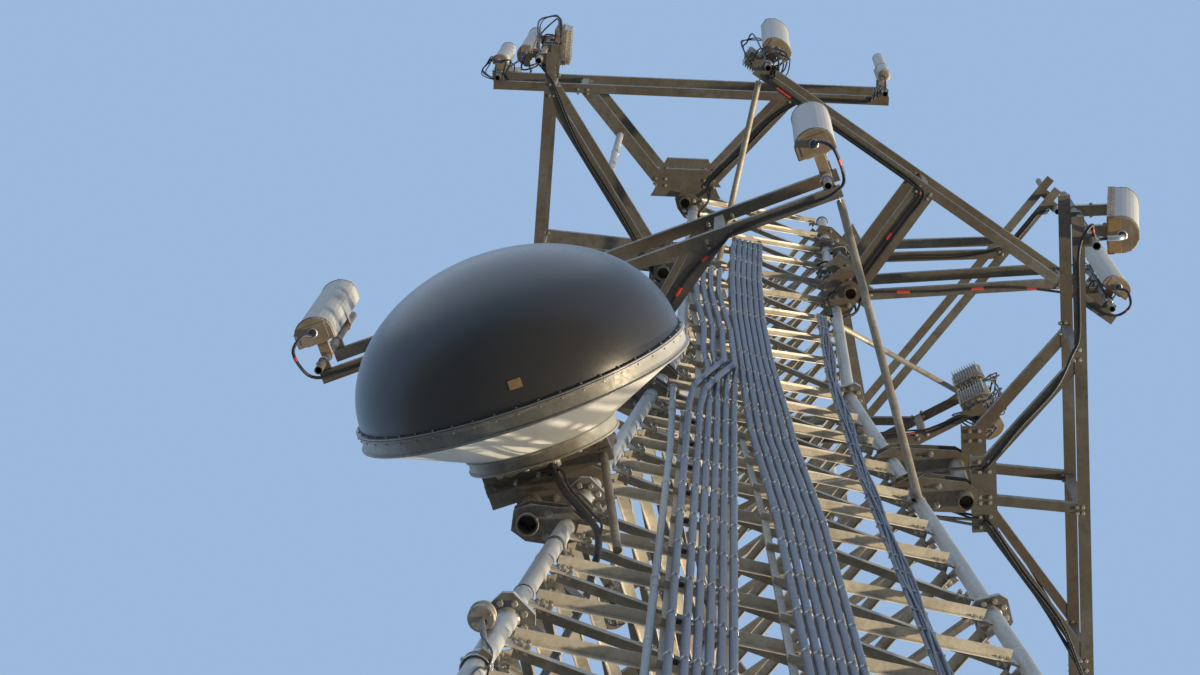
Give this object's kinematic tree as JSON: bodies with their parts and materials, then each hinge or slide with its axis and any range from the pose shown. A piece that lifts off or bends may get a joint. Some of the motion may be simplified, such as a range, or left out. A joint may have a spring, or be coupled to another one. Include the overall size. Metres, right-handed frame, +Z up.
{
  "type": "three-legged lattice radio tower",
  "caption": "Three-legged steel lattice tower with sector antenna frames on three levels, a domed dish and feeder cable ladders.",
  "frame": {"origin": "centre of the underside of leg A's base plate", "axes": "+X from leg A to leg B along the face that carries the feeders, +Y from that face towards leg C, +Z up"},
  "size_m": [6.9569, 6.6039, 37.5],
  "materials": {
    "galvanised_leg": "matt, weathered blue-grey zinc",
    "galvanised_brace": "matt, weathered brown-grey zinc",
    "weathered_steel": "matt, weathered brown-grey zinc",
    "radome_white": "matt, slightly dirty",
    "unit_grey": "satin paint",
    "radome_dark": "matt",
    "dish_white": "matt paint, streaked",
    "cable_jacket": "satin jacket",
    "conduit_grey": "satin"
  },
  "bodies": {
    "root": {"leg_a": "galvanised_leg", "leg_b": "galvanised_leg", "leg_c": "galvanised_leg", "top_leg_a": "galvanised_leg", "top_leg_b": "galvanised_leg", "top_leg_c": "galvanised_leg", "face_ab_1": "galvanised_brace", "face_ab_2": "galvanised_brace", "face_ab_3": "galvanised_brace", "face_ab_4": "galvanised_brace", "face_ab_top": "galvanised_brace", "face_bc_1": "galvanised_brace", "face_bc_2": "galvanised_brace", "face_bc_3": "galvanised_brace", "face_bc_4": "galvanised_brace", "face_bc_top": "galvanised_brace", "face_ca_1": "galvanised_brace", "face_ca_2": "galvanised_brace", "face_ca_3": "galvanised_brace", "face_ca_4": "galvanised_brace", "face_ca_top": "galvanised_brace", "low_frame_left": "weathered_steel", "low_frame_right": "weathered_steel", "low_frame_back": "weathered_steel", "mid_frame_front": "weathered_steel", "mid_frame_left": "weathered_steel", "mid_frame_back": "weathered_steel", "high_frame_front": "weathered_steel", "high_frame_right": "weathered_steel", "high_frame_back": "weathered_steel", "low_antennas": "radome_white", "mid_antennas": "radome_white", "high_antennas": "radome_white", "mid_radios": "unit_grey", "high_radios": "unit_grey", "stay_pipes": "galvanised_leg", "dish_radome": "radome_dark", "dish_rim": "galvanised_brace", "dish_reflector": "dish_white", "dish_mount": "weathered_steel", "feeder_ladder_left": "galvanised_brace", "feeder_cables_left": "cable_jacket", "feeder_ladder_right": "galvanised_brace", "feeder_cables_right": "cable_jacket", "thin_cables": "cable_jacket", "conduit": "conduit_grey", "side_lamp": "weathered_steel"}
  },
  "joints": []
}
